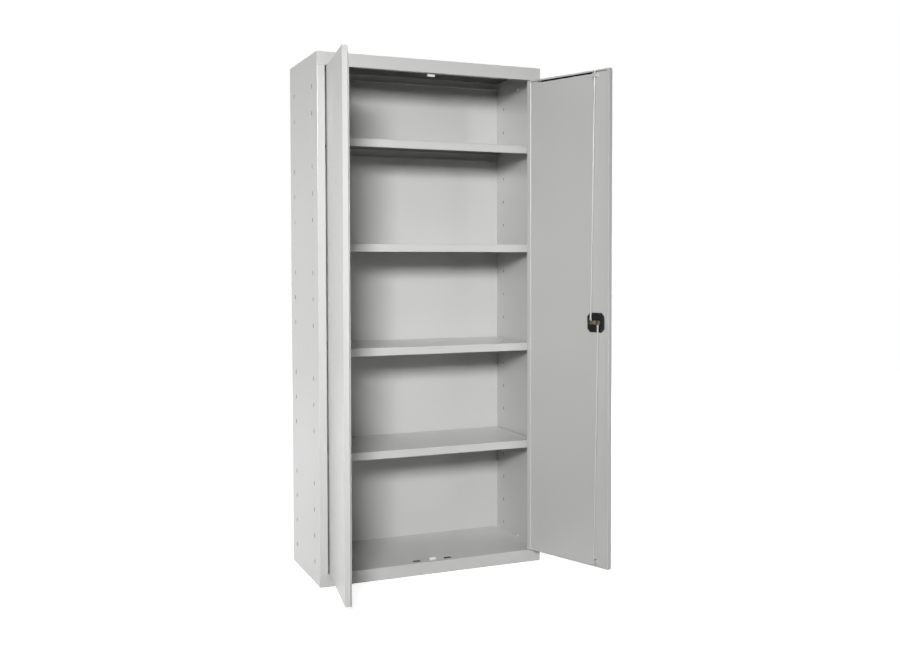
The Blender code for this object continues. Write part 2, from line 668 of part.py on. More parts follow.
def grip_handle(parent):
    """A turned disc with a rounded finger bar across it, bored for the cylinder."""
    disc = [(GRIP_RADIUS, GRIP_BACK_Y), (GRIP_RADIUS, GRIP_BACK_Y - GRIP_DISC_HEIGHT)]
    grip = turned("grip_handle", disc, BLACK_PLASTIC, parent, "Y", LOCK_STEPS)
    straight = GRIP_RADIUS - GRIP_BAR_WIDTH / 2
    half_turn = LOCK_STEPS // 2
    outline = arc((straight, 0.0), GRIP_BAR_WIDTH / 2, -math.pi / 2, math.pi / 2, half_turn)
    outline += arc((-straight, 0.0), GRIP_BAR_WIDTH / 2, math.pi / 2, 3 * math.pi / 2, half_turn)
    root = GRIP_BACK_Y - GRIP_DISC_HEIGHT / 2
    bar = prism("grip_bar", outline, "Y", GRIP_FACE_Y, root, BLACK_PLASTIC, parent)
    shape_with(grip, bar, "UNION")
    bore_end = GRIP_FACE_Y - CYLINDER_STAND_OUT + CYLINDER_LENGTH + FIT_GAP
    bore = prism("grip_bore", disc_outline((0.0, 0.0), CYLINDER_RADIUS + FIT_GAP, LOCK_STEPS), "Y",
                 GRIP_FACE_Y - OVERRUN, bore_end, BLACK_PLASTIC, parent)
    shape_with(grip, bore)
    return grip


def lock_cylinder(parent):
    """The cylinder's core, with an upright keyway in its face."""
    face = GRIP_FACE_Y - CYLINDER_STAND_OUT
    profile = [(CYLINDER_RADIUS, face + CYLINDER_LENGTH), (CYLINDER_RADIUS, face)]
    core = turned("lock_cylinder", profile, NICKEL, parent, "Y", LOCK_STEPS)
    low = (-KEYWAY_WIDTH / 2, face - OVERRUN, -KEYWAY_HEIGHT / 2)
    high = (KEYWAY_WIDTH / 2, face + KEYWAY_DEPTH, KEYWAY_HEIGHT / 2)
    shape_with(core, box("keyway", low, high, NICKEL, parent))
    return core


def lock_spindle(parent):
    """The shaft from the grip to the cam, with a collar behind the dish."""
    start = GRIP_BACK_Y + FIT_GAP
    collar = DISH_BACK_Y + FIT_GAP
    collar_end = collar + SPINDLE_COLLAR_LENGTH
    end = CAM_BACK_Y + FIT_GAP + NUT_THICKNESS + SPINDLE_END
    profile = [
        (SPINDLE_RADIUS, start), (SPINDLE_RADIUS, collar), (SPINDLE_COLLAR_RADIUS, collar),
        (SPINDLE_COLLAR_RADIUS, collar_end), (SPINDLE_RADIUS, collar_end), (SPINDLE_RADIUS, end),
    ]
    return turned("lock_spindle", profile, ZINC_STEEL, parent, "Y")


def lock_cam(parent):
    """A two-armed plate with a pin near each end, bored for the spindle."""
    steps = LOCK_STEPS // 2
    lean = math.asin((CAM_END_RADIUS - CAM_WAIST) / CAM_THROW)
    outline = arc((CAM_THROW, 0.0), CAM_END_RADIUS, -math.pi / 2 + lean, math.pi / 2 - lean, steps)
    outline.append((0.0, CAM_WAIST))
    outline += arc((-CAM_THROW, 0.0), CAM_END_RADIUS, math.pi / 2 + lean, 3 * math.pi / 2 - lean, steps)
    outline.append((0.0, -CAM_WAIST))
    cam = prism("lock_cam", outline, "Y", CAM_FRONT_Y, CAM_BACK_Y, YELLOW_ZINC, parent)
    bore = prism("cam_bore", disc_outline((0.0, 0.0), SPINDLE_RADIUS + FIT_GAP), "Y",
                 CAM_FRONT_Y - OVERRUN, CAM_BACK_Y + OVERRUN, YELLOW_ZINC, parent)
    shape_with(cam, bore)
    for end, place in (("hinge", CAM_THROW), ("free", -CAM_THROW)):
        outline = disc_outline((place, 0.0), CAM_PIN_RADIUS)
        pin = prism("cam_pin_" + end, outline, "Y", CAM_FRONT_Y + CAM_THICKNESS / 2,
                    CAM_BACK_Y + CAM_PIN_LENGTH, YELLOW_ZINC, parent)
        shape_with(cam, pin, "UNION")
    return cam


def cam_nut(parent):
    """The hexagon nut that holds the cam on the spindle."""
    front = CAM_BACK_Y + FIT_GAP
    hexagon = disc_outline((0.0, 0.0), NUT_WIDTH / math.sqrt(3), 6)
    nut = prism("cam_nut", hexagon, "Y", front, front + NUT_THICKNESS, ZINC_STEEL, parent)
    bore = prism("nut_bore", disc_outline((0.0, 0.0), SPINDLE_RADIUS + FIT_GAP), "Y",
                 front - OVERRUN, front + NUT_THICKNESS + OVERRUN, ZINC_STEEL, parent)
    shape_with(nut, bore)
    return nut


def locking_rod(name, up, length, parent):
    """A round rod flattened to an eye on the cam's pin, drawn along the empty's z axis."""
    tip = up * length
    start = up * ROD_NECK_START
    profile = [
        (ROD_RADIUS, start), (ROD_RADIUS, tip - up * ROD_TIP_CHAMFER), (ROD_RADIUS - ROD_TIP_CHAMFER, tip),
    ]
    rod = turned(name, profile, POWDER_COAT, parent, steps=LOCK_STEPS // 2)
    for vertex in rod.data.vertices:
        vertex.co.y += ROD_Y
    corner = math.asin(ROD_NECK_WIDTH / 2 / ROD_EYE_RADIUS)
    eye = arc((0.0, 0.0), ROD_EYE_RADIUS, math.pi / 2 + corner, 5 * math.pi / 2 - corner, ROUND_STEPS)
    neck_end = ROD_NECK_START + ROD_NECK_OVERLAP
    eye += [(ROD_NECK_WIDTH / 2, neck_end), (-ROD_NECK_WIDTH / 2, neck_end)]
    flat = [(x, up * z) for x, z in eye]
    low_y = ROD_Y - ROD_EYE_THICKNESS / 2
    plate = prism(name + "_eye", flat, "Y", low_y, low_y + ROD_EYE_THICKNESS, POWDER_COAT, parent)
    shape_with(rod, plate, "UNION")
    bore = prism(name + "_eye_bore", disc_outline((0.0, 0.0), CAM_PIN_RADIUS + FIT_GAP), "Y",
                 low_y - OVERRUN, low_y + ROD_EYE_THICKNESS + OVERRUN, POWDER_COAT, parent)
    shape_with(rod, bore)
    return rod


def rod_guide(name, edge, inward, play_side, parent):
    """A pressed steel strap welded to the liner, wide enough for the rod's sideways swing."""
    centre_x = DOOR_FREE_X + LOCK_FREE_INSET
    near = ROD_RADIUS + GUIDE_CLEARANCE
    low_x = centre_x - near - (GUIDE_PLAY if play_side < 0 else 0.0)
    high_x = centre_x + near + (GUIDE_PLAY if play_side > 0 else 0.0)
    left, right = low_x - GUIDE_SHEET, high_x + GUIDE_SHEET
    seat = LINER_FACE_Y + FIT_GAP
    foot, ceiling = seat + GUIDE_SHEET, ROD_Y + near
    crown = ceiling + GUIDE_SHEET
    outline = [
        (left - GUIDE_FOOT, seat), (low_x, seat), (low_x, ceiling), (high_x, ceiling),
        (high_x, seat), (right + GUIDE_FOOT, seat), (right + GUIDE_FOOT, foot), (right, foot),
        (right, crown), (left, crown), (left, foot), (left - GUIDE_FOOT, foot),
    ]
    first = edge + inward * GUIDE_EDGE_INSET
    guide = prism(name, outline, "Z", first, first + inward * GUIDE_HEIGHT, POWDER_COAT, parent)
    round_edges(guide, GUIDE_SHEET / 3, 1)
    return guide


def build_body():
    side_panel("left_side_panel", -1)
    side_panel("right_side_panel", 1)
    back_panel()
    top_panel()
    bottom_panel()
    door_stop("top_door_stop", FASCIA_LOW - FIT_GAP - STOP_HEIGHT)
    door_stop("bottom_door_stop", PLINTH_HEIGHT + FIT_GAP)


def build_shelves():
    hands = ((-1, "left"), (1, "right"))
    columns = tuple(zip(SLOT_COLUMNS, ("front", "rear")))
    for count, slot_number in enumerate(SHELF_SLOTS, 1):
        shelf(f"shelf_{count}", slot_number)
        for side, hand in hands:
            for column, end in columns:
                shelf_clip(f"shelf_{count}_clip_{hand}_{end}", side, column, slot_number)


def build_door(hand, side, angle, locked):
    pivot = door_pivot(hand + "_door_pivot", side, angle)
    door_skin(hand + "_door_skin", side, pivot, locked)
    door_liner(hand + "_door_liner", side, pivot, locked)
    pivot_pin(hand + "_top_pivot_pin", side, FASCIA_LOW, -1)
    pivot_pin(hand + "_bottom_pivot_pin", side, PLINTH_HEIGHT, 1)
    pivot_bush(hand + "_top_bush", DOOR_HIGH, -1, pivot)
    pivot_bush(hand + "_bottom_bush", DOOR_LOW, 1, pivot)
    return pivot


def build_lock(pivot):
    lock_x = DOOR_FREE_X + LOCK_FREE_INSET
    axis = joint_empty("lock_axis", (lock_x, 0.0, LOCK_HEIGHT), pivot)
    lock_dish(axis)
    grip_handle(axis)
    lock_cylinder(axis)
    lock_spindle(axis)
    lock_cam(axis)
    cam_nut(axis)
    lean = math.atan2(CAM_THROW, ROD_UP_RUN)
    upper = joint_empty("upper_rod_joint", (CAM_THROW, 0.0, 0.0), axis, -lean)
    locking_rod("upper_rod", 1, math.hypot(CAM_THROW, ROD_UP_RUN), upper)
    lean = math.atan2(CAM_THROW, ROD_DOWN_RUN)
    lower = joint_empty("lower_rod_joint", (-CAM_THROW, 0.0, 0.0), axis, -lean)
    locking_rod("lower_rod", -1, math.hypot(CAM_THROW, ROD_DOWN_RUN), lower)
    rod_guide("upper_rod_guide", DOOR_HIGH, -1, 1, pivot)
    rod_guide("lower_rod_guide", DOOR_LOW, 1, -1, pivot)


build_body()
build_shelves()
left_pivot = build_door("left", -1, LEFT_REST_ANGLE, locked=False)
overlap_strip(-1, left_pivot)
right_pivot = build_door("right", 1, RIGHT_REST_ANGLE, locked=True)
build_lock(right_pivot)
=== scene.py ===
"""A tall two-door storage cabinet in powder-coated sheet steel, standing open on a white floor.

The sections follow the cabinet as it is put together: body, shelves, doors, lock and
locking rods. The floor, the surroundings, the lamps and the camera come last.
"""
import json
import math

import bmesh
import bpy
from mathutils import Matrix, Vector


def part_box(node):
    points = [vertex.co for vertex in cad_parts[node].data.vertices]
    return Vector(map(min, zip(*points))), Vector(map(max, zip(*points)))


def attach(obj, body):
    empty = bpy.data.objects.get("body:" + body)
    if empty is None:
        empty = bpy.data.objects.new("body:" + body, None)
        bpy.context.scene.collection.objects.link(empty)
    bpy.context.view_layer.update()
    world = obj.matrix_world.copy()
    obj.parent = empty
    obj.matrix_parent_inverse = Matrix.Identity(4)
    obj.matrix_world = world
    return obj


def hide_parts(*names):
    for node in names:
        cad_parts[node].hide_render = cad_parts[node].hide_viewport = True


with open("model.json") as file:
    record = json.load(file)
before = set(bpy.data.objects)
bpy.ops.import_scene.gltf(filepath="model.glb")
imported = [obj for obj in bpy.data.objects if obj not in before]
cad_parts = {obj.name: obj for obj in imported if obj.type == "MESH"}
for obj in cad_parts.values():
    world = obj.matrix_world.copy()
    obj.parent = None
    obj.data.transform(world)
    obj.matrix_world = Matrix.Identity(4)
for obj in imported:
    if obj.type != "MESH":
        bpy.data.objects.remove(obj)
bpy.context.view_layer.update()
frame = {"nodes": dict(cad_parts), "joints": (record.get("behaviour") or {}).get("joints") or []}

# Side panels: each is one sheet of 1 mm steel, folded on a brake to a front stile with a
# return lip and to a rear flange. Body and doors are degreased, powder coated in a light
# warm grey and stoved, which leaves a fine orange peel with a soft sheen.
sheet = 0.001
coat_colour = (0.600, 0.602, 0.592, 1.0)
coat_cloud_size = 0.45
coat_contrast = 0.022
coat_roughness = (0.215, 0.235)
coat_peel_size = 0.0016
coat_peel_height = 0.000012
coat_wave_size = 0.11
coat_wave_height = 0.00004
# Painted light by facing: undersides are painted towards this near-black as shade, and topsides are
# painted lighter by this gain.
painted_underside_shade = (0.055, 0.056, 0.040, 1.0)
underside_shade_amount = 0.92
topside_light_gain = 1.2


def new_shader_group(name, inputs, outputs):
    """An empty group with named sockets, with the ones to read and the ones to feed."""
    group = bpy.data.node_groups.new(name, "ShaderNodeTree")
    for socket_name, kind, value in inputs:
        socket = group.interface.new_socket(name=socket_name, in_out="INPUT", socket_type=kind)
        if value is not None:
            socket.default_value = value
    for socket_name, kind in outputs:
        group.interface.new_socket(name=socket_name, in_out="OUTPUT", socket_type=kind)
    given = group.nodes.new("NodeGroupInput").outputs
    made = group.nodes.new("NodeGroupOutput").inputs
    return group, given, made


def wired(tree, kind, inputs=None, **settings):
    """A node whose inputs are given as values or as the sockets that feed them."""
    node = tree.nodes.new(kind)
    for setting, value in settings.items():
        setattr(node, setting, value)
    for socket, value in (inputs or {}).items():
        if isinstance(value, bpy.types.NodeSocket):
            tree.links.new(value, node.inputs[socket])
        else:
            node.inputs[socket].default_value = value
    return node


def maths(tree, operation, first, second=0.0, third=0.0):
    node = wired(tree, "ShaderNodeMath", {0: first, 1: second, 2: third}, operation=operation)
    return node.outputs[0]


def noise(tree, place, scale, detail=2.0, roughness=0.5):
    inputs = {"Vector": place, "Scale": scale, "Detail": detail, "Roughness": roughness}
    return wired(tree, "ShaderNodeTexNoise", inputs).outputs["Fac"]


# The relief of a finish: a fine grain on slow waves.
surface_relief, given, made = new_shader_group(
    "surface_relief",
    [("Place", "NodeSocketVector", None), ("Fine size", "NodeSocketFloat", 0.002),
     ("Fine height", "NodeSocketFloat", 0.0001), ("Wave size", "NodeSocketFloat", 0.1),
     ("Wave height", "NodeSocketFloat", 0.0)],
    [("Height", "NodeSocketFloat")])
fine_scale = maths(surface_relief, "DIVIDE", 1.0, given["Fine size"])
wave_scale = maths(surface_relief, "DIVIDE", 1.0, given["Wave size"])
fine = noise(surface_relief, given["Place"], fine_scale, 1.5, 0.45)
wave = noise(surface_relief, given["Place"], wave_scale, 0.0)
fine_relief = maths(surface_relief, "MULTIPLY", fine, given["Fine height"])
whole_relief = maths(surface_relief, "MULTIPLY_ADD", wave, given["Wave height"], fine_relief)
surface_relief.links.new(whole_relief, made["Height"])

# The tone of a finish: clouds in its colour and a finer mottle in its gloss.
tone_variation, given, made = new_shader_group(
    "tone_variation",
    [("Place", "NodeSocketVector", None), ("Colour", "NodeSocketColor", None),
     ("Cloud size", "NodeSocketFloat", 0.2), ("Contrast", "NodeSocketFloat", 0.05),
     ("Smoothest", "NodeSocketFloat", 0.35), ("Roughest", "NodeSocketFloat", 0.5)],
    [("Colour", "NodeSocketColor"), ("Roughness", "NodeSocketFloat")])
cloud_scale = maths(tone_variation, "DIVIDE", 1.0, given["Cloud size"])
cloud = noise(tone_variation, given["Place"], cloud_scale, 3.0, 0.55)
centred_cloud = maths(tone_variation, "SUBTRACT", cloud, 0.5)
swing = maths(tone_variation, "MULTIPLY", centred_cloud, given["Contrast"])
lightness = maths(tone_variation, "MULTIPLY_ADD", swing, 2.0, 1.0)
toned = wired(tone_variation, "ShaderNodeVectorMath", {
    0: given["Colour"], "Scale": lightness}, operation="SCALE")
tone_variation.links.new(toned.outputs["Vector"], made["Colour"])
mottle_scale = maths(tone_variation, "MULTIPLY", cloud_scale, 7.0)
mottle = noise(tone_variation, given["Place"], mottle_scale, 4.0, 0.6)
gloss = wired(tone_variation, "ShaderNodeMapRange", {
    "Value": mottle, "From Min": 0.3, "From Max": 0.7,
    "To Min": given["Smoothest"], "To Max": given["Roughest"]})
tone_variation.links.new(gloss.outputs["Result"], made["Roughness"])

# Painted light and shade by facing: what faces up is painted lighter, a painted highlight on the decks,
# and what faces down is painted towards near-black, a painted shade under the shelves and the top.
painted_facing_light, given, made = new_shader_group(
    "painted_facing_light",
    [("Colour", "NodeSocketColor", None), ("Underside shade", "NodeSocketColor", None),
     ("Shade below", "NodeSocketFloat", 0.3), ("Light above", "NodeSocketFloat", 1.1)],
    [("Colour", "NodeSocketColor")])
facing = wired(painted_facing_light, "ShaderNodeNewGeometry").outputs["Normal"]
upward = wired(painted_facing_light, "ShaderNodeSeparateXYZ", {0: facing}).outputs["Z"]
topside = wired(painted_facing_light, "ShaderNodeMapRange", {
    "Value": upward, "From Min": 0.6, "From Max": 0.95,
    "To Min": 1.0, "To Max": given["Light above"]}).outputs["Result"]
underside = wired(painted_facing_light, "ShaderNodeMapRange", {
    "Value": upward, "From Min": -0.93, "From Max": -0.99}).outputs["Result"]
lightened = wired(painted_facing_light, "ShaderNodeVectorMath", {
    0: given["Colour"], "Scale": topside}, operation="SCALE").outputs["Vector"]
shade_amount = maths(painted_facing_light, "MULTIPLY", underside, given["Shade below"])
shaded_colour = wired(painted_facing_light, "ShaderNodeMix", {
    "Factor": shade_amount, "A": lightened, "B": given["Underside shade"]}, data_type="RGBA")
painted_facing_light.links.new(shaded_colour.outputs["Result"], made["Colour"])


def use_group(tree, group, inputs):
    """A shared effect, placed in a material with the material's own values."""
    return wired(tree, "ShaderNodeGroup", inputs, node_tree=group).outputs


def blank_material(name):
    """A material with its shader, and the place on the piece that its patterns read."""
    material = bpy.data.materials.new(name)
    material.use_nodes = True
    tree = material.node_tree
    shader = tree.nodes["Principled BSDF"]
    place = wired(tree, "ShaderNodeTexCoord").outputs["Object"]
    return material, tree, shader, place


def feed_shader(tree, shader, colour, roughness, height=None):
    """Give a shader its colour, its roughness and the relief of its surface."""
    tree.links.new(colour, shader.inputs["Base Color"])
    tree.links.new(roughness, shader.inputs["Roughness"])
    if height is not None:
        bump = wired(tree, "ShaderNodeBump", {"Height": height, "Strength": 1.0, "Distance": 1.0})
        tree.links.new(bump.outputs["Normal"], shader.inputs["Normal"])


powder_coat, tree, shader, place = blank_material("light_grey_powder_coat")
tone = use_group(tree, tone_variation, {
    "Place": place, "Colour": coat_colour, "Cloud size": coat_cloud_size,
    "Contrast": coat_contrast, "Smoothest": coat_roughness[0], "Roughest": coat_roughness[1]})
# The coat's colour carries painted light: lighter where it faces up, painted shade where it faces down.
facing_light = use_group(tree, painted_facing_light, {
    "Colour": tone["Colour"], "Underside shade": painted_underside_shade,
    "Shade below": underside_shade_amount, "Light above": topside_light_gain})
relief = use_group(tree, surface_relief, {
    "Place": place, "Fine size": coat_peel_size, "Fine height": coat_peel_height,
    "Wave size": coat_wave_size, "Wave height": coat_wave_height})
feed_shader(tree, shader, facing_light["Colour"], tone["Roughness"], relief["Height"])


def dress(material, *nodes):
    """Give CAD nodes their finish."""
    for node in nodes:
        mesh = frame["nodes"][node].data
        mesh.materials.clear()
        mesh.materials.append(material)


dress(powder_coat, "left_side_panel", "right_side_panel")

# Shelf slots: the die slits each web and bulges the strip of steel behind the slit inwards,
# so that each slot has a small hood with its mouth towards the front. Slots that hold a
# clip are filled by the clip's tongue.
left_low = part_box("left_side_panel")[0]
right_low, right_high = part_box("right_side_panel")
web_inner = right_high[0] - sheet
slot_pitch = 0.100
slot_lowest = 0.080
slot_count = 19
slots_per_shelf = 4
front_column = right_low[1] + 0.075
rear_column = right_high[1] - 0.070
hood_half_height = 0.0072
hood_length = 0.0088
hood_bulge = 0.0037
hood_sink = 0.0002
hood_around = 10
hood_along = 5
merge_distance = 1e-6
sharp_from = math.radians(50)


def add_hood_shell(bm, *shrinks):
    """A quarter of an egg, open towards the front, lying on a wall on its right-hand side."""
    skins = []
    for shrink in shrinks:
        rows = []
        for along in range(hood_along + 1):
            rise = math.pi / 2 * along / hood_along
            row = []
            for around in range(hood_around + 1):
                turn = math.pi * (around / hood_around - 0.5)
                across = (hood_bulge - shrink) * math.cos(turn) * math.cos(rise)
                back = (hood_length - shrink) * math.sin(rise)
                up = (hood_half_height - shrink) * math.sin(turn) * math.cos(rise)
                row.append(bm.verts.new((-across + hood_sink, back, up)))
            rows.append(row)
        skins.append(rows)
    outer, inner = skins
    for along in range(hood_along):
        for around in range(hood_around):
            for rows in skins:
                bm.faces.new((rows[along][around], rows[along][around + 1],
                              rows[along + 1][around + 1], rows[along + 1][around]))
        for edge in (0, hood_around):
            bm.faces.new((outer[along][edge], outer[along + 1][edge],
                          inner[along + 1][edge], inner[along][edge]))
    for around in range(hood_around):
        bm.faces.new((outer[0][around], outer[0][around + 1],
                      inner[0][around + 1], inner[0][around]))


def closed_mesh(bm, name):
    """Merge a drawn mesh, turn its faces outwards and smooth all but its sharp edges."""
    bmesh.ops.remove_doubles(bm, verts=bm.verts, dist=merge_distance)
    bmesh.ops.recalc_face_normals(bm, faces=bm.faces)
    mesh = bpy.data.meshes.new(name)
    bm.to_mesh(mesh)
    bm.free()
    mesh.shade_smooth()
    mesh.set_sharp_from_angle(angle=sharp_from)
    return mesh


def geometry_tree(name, inputs):
    """A geometry tree with named inputs, each with its kind."""
    tree = bpy.data.node_groups.new(name, "GeometryNodeTree")
    for socket_name, kind in inputs:
        tree.interface.new_socket(name=socket_name, in_out="INPUT", socket_type=kind)
    tree.interface.new_socket(name="Geometry", in_out="OUTPUT", socket_type="NodeSocketGeometry")
    return tree, tree.nodes.new("NodeGroupInput").outputs, tree.nodes.new("NodeGroupOutput").inputs


def stamped_column(tree, given, x, y, stamp, **inputs):
    """The stamp at a column of points, which rise from the lowest by one pitch each."""
    step = wired(tree, "ShaderNodeCombineXYZ", {"Z": given["Pitch"]}).outputs["Vector"]
    start = wired(tree, "ShaderNodeCombineXYZ", {"X": x, "Y": y, "Z": given["Lowest"]})
    line = wired(tree, "GeometryNodeMeshLine", {
        "Count": given["Count"], "Start Location": start.outputs["Vector"], "Offset": step})
    column = wired(tree, "GeometryNodeInstanceOnPoints", {
        "Points": line.outputs["Mesh"], "Instance": stamp, **inputs})
    return column.outputs["Instances"]


def finish_columns(tree, given, made, columns):
    """Make the columns one real mesh with its finish."""
    joined = tree.nodes.new("GeometryNodeJoinGeometry")
    for column in columns:
        tree.links.new(column, joined.inputs["Geometry"])
    solid = wired(tree, "GeometryNodeRealizeInstances", {"Geometry": joined.outputs["Geometry"]})
    coated = wired(tree, "GeometryNodeSetMaterial", {
        "Geometry": solid.outputs["Geometry"], "Material": given["Finish"]})
    tree.links.new(coated.outputs["Geometry"], made["Geometry"])


def set_out(name, mesh):
    """Put a mesh in the scene as a piece."""
    piece = bpy.data.objects.new(name, mesh)
    bpy.context.scene.collection.objects.link(piece)
    return piece


def grow(tree, name, values):
    """Run a geometry tree once and keep what it makes as a plain mesh."""
    seed = set_out(name + "_seed", bpy.data.meshes.new(name + "_seed"))
    modifier = seed.modifiers.new(name, "NODES")
    modifier.node_group = tree
    for item in tree.interface.items_tree:
        if item.in_out == "INPUT":
            modifier[item.identifier] = values[item.name]
    bpy.context.view_layer.update()
    evaluated = seed.evaluated_get(bpy.context.evaluated_depsgraph_get())
    mesh = bpy.data.meshes.new_from_object(evaluated)
    seed.modifiers.clear()
    bpy.data.objects.remove(seed)
    return set_out(name, mesh)


def fit_piece(piece, material, body, slot, *nodes):
    """Finish a piece, hang it on its body and let it stand for its CAD nodes."""
    piece.data.materials.clear()
    piece.data.materials.append(material)
    if nodes:
        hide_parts(*nodes)
    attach(piece, body)


def slot_rows_tree():
    """Stamps on both webs, front and rear, with the clips' slots left out."""
    tree, given, made = geometry_tree("slot_rows", [
        ("Stamp", "NodeSocketObject"), ("Wall", "NodeSocketFloat"),
        ("Front column", "NodeSocketFloat"), ("Rear column", "NodeSocketFloat"),
        ("Lowest", "NodeSocketFloat"), ("Pitch", "NodeSocketFloat"), ("Count", "NodeSocketInt"),
        ("Slots per shelf", "NodeSocketInt"), ("Finish", "NodeSocketMaterial")])

    def is_zero(number):
        return wired(tree, "FunctionNodeCompare", {"A": number, "B": 0.5},
                     data_type="FLOAT", operation="LESS_THAN").outputs["Result"]

    def logic(operation, *terms):
        node = wired(tree, "FunctionNodeBooleanMath", dict(enumerate(terms)), operation=operation)
        return node.outputs["Boolean"]

    stamp = wired(tree, "GeometryNodeObjectInfo", {"Object": given["Stamp"]}).outputs["Geometry"]
    index = wired(tree, "GeometryNodeInputIndex").outputs["Index"]
    taken = is_zero(maths(tree, "MODULO", index, given["Slots per shelf"]))
    chosen = logic("OR", logic("NOT", taken), is_zero(index))
    columns = []
    for side, turn in ((1.0, 0.0), (-1.0, math.pi)):
        wall = maths(tree, "MULTIPLY", given["Wall"], side)
        for column in ("Front column", "Rear column"):
            columns.append(stamped_column(
                tree, given, wall, given[column], stamp, Selection=chosen, Rotation=(0.0, turn, 0.0)))
    finish_columns(tree, given, made, columns)
    return tree


slot_rows = slot_rows_tree()
slot_places = {
    "Wall": web_inner, "Front column": front_column, "Rear column": rear_column,
    "Lowest": slot_lowest, "Pitch": slot_pitch, "Count": slot_count,
    "Slots per shelf": slots_per_shelf}
hood = bmesh.new()
add_hood_shell(hood, 0.0, sheet)
hood_die = bpy.data.objects.new("lanced_hood_die", closed_mesh(hood, "lanced_hood"))
slot_hoods = grow(slot_rows, "slot_hoods", slot_places | {"Stamp": hood_die, "Finish": powder_coat})
bpy.data.objects.remove(hood_die)
fit_piece(slot_hoods, powder_coat, "cabinet", "powder_coat")

# Slot recesses: the inside of each hood, the edge of its slot and a rim round it are lined
# with thin near-black sheets, a painted shade in the recesses.
painted_shade_colour = (0.045, 0.045, 0.040, 1.0)
slot_cut = (0.005, 0.007)
cut_steps = 8
lining_lap = 0.00005
lining_gap = 0.00015
pan_depth = 0.0002
pan_sheet = 0.0001
pan_wall = 0.0004
rim_width = 0.0022
rim_height = 0.00006
rim_slope = 0.0003
rim_foot = 0.0008


def half_moon(margin):
    """The outline of the cut with a margin round it, as (back, up)."""
    turns = [math.pi * (step / cut_steps - 0.5) for step in range(cut_steps + 1)]
    length, half_height = slot_cut[0] + 2 * margin, slot_cut[1] + margin
    return [(length * math.cos(turn) - margin, half_height * math.sin(turn)) for turn in turns]


def skin_rows(bm, rows):
    """Faces between each closed row of points and the next."""
    for first, second in zip(rows, rows[1:]):
        for step, point in enumerate(first):
            after = (step + 1) % len(first)
            bm.faces.new((point, first[after], second[after], second[step]))


def add_slot_pan(bm):
    """The dark end of the recess and a dark rim round its mouth, both painted shade."""
    rim_top = sheet + rim_height
    rows = []
    for level, margin in (
            (pan_depth, 0.0), (sheet, 0.0), (rim_top, rim_slope), (rim_top, rim_width - rim_slope),
            (rim_foot, rim_width), (rim_foot, pan_wall), (pan_depth - pan_sheet, pan_wall)):
        rows.append([bm.verts.new((level, back, up)) for back, up in half_moon(margin)])
    skin_rows(bm, rows)
    bm.faces.new(rows[0])
    bm.faces.new(rows[-1])


# The near-black material of the recesses is painted shade, not a finish of the steel.
painted_shade, tree, shader, place = blank_material("painted_recess_shade")
tone = use_group(tree, tone_variation, {
    "Place": place, "Colour": painted_shade_colour, "Cloud size": 0.004, "Contrast": 0.35,
    "Smoothest": 0.75, "Roughest": 0.95})
shader.inputs["Specular IOR Level"].default_value = 0.15
feed_shader(tree, shader, tone["Colour"], tone["Roughness"])
# Near-black sheets inside the hoods and round the slot mouths, as painted shade.
lining = bmesh.new()
add_hood_shell(lining, sheet - lining_lap, sheet + lining_gap)
add_slot_pan(lining)
lining_die = bpy.data.objects.new("slot_lining_die", closed_mesh(lining, "slot_lining"))
slot_linings = grow(slot_rows, "slot_linings", slot_places | {
    "Stamp": lining_die, "Finish": painted_shade})
bpy.data.objects.remove(lining_die)
fit_piece(slot_linings, painted_shade, "cabinet", "powder_coat")

# Back, top and floor: flat back sheet inside the rear flanges, top sheet with the fascia
# folded down in front, floor sheet with the plinth folded down in front. They are spot
# welded to the sides before coating, and the welds show as shallow rings on the flanges.
dress(powder_coat, "back_panel", "top_panel", "bottom_panel")
weld_radius = 0.0032
weld_height = 0.00004
weld_profile = [(1.0, -0.8), (0.86, 0.55), (0.70, 1.0), (0.52, 0.55), (0.0, 0.25)]
weld_steps = 14
weld_pitch = 0.098
weld_count = 20
weld_lowest = 0.065
weld_inset = 0.009


def circle(radius, steps):
    turns = [2 * math.pi * step / steps for step in range(steps)]
    return [(radius * math.cos(turn), radius * math.sin(turn)) for turn in turns]


def weld_rows_tree():
    """Weld rings up both rear flanges."""
    tree, given, made = geometry_tree("weld_rows", [
        ("Ring", "NodeSocketObject"), ("Left", "NodeSocketFloat"), ("Right", "NodeSocketFloat"),
        ("Rear", "NodeSocketFloat"), ("Lowest", "NodeSocketFloat"), ("Pitch", "NodeSocketFloat"),
        ("Count", "NodeSocketInt"), ("Finish", "NodeSocketMaterial")])
    ring = wired(tree, "GeometryNodeObjectInfo", {"Object": given["Ring"]}).outputs["Geometry"]
    flanges = (given["Left"], given["Right"])
    columns = [stamped_column(tree, given, x, given["Rear"], ring) for x in flanges]
    finish_columns(tree, given, made, columns)
    return tree


ring = bmesh.new()
ring_rows = []
for reach, height in weld_profile:
    outline = circle(weld_radius * reach, weld_steps)
    ring_rows.append([ring.verts.new((x, weld_height * height, z)) for x, z in outline])
skin_rows(ring, ring_rows)
ring.faces.new(ring_rows[0])
ring_die = bpy.data.objects.new("weld_ring_die", closed_mesh(ring, "weld_ring"))
rear_welds = grow(weld_rows_tree(), "rear_spot_welds", {
    "Ring": ring_die, "Left": left_low[0] + weld_inset, "Right": right_high[0] - weld_inset,
    "Rear": right_high[1], "Lowest": weld_lowest, "Pitch": weld_pitch, "Count": weld_count,
    "Finish": powder_coat})
bpy.data.objects.remove(ring_die)
fit_piece(rear_welds, powder_coat, "cabinet", "powder_coat")

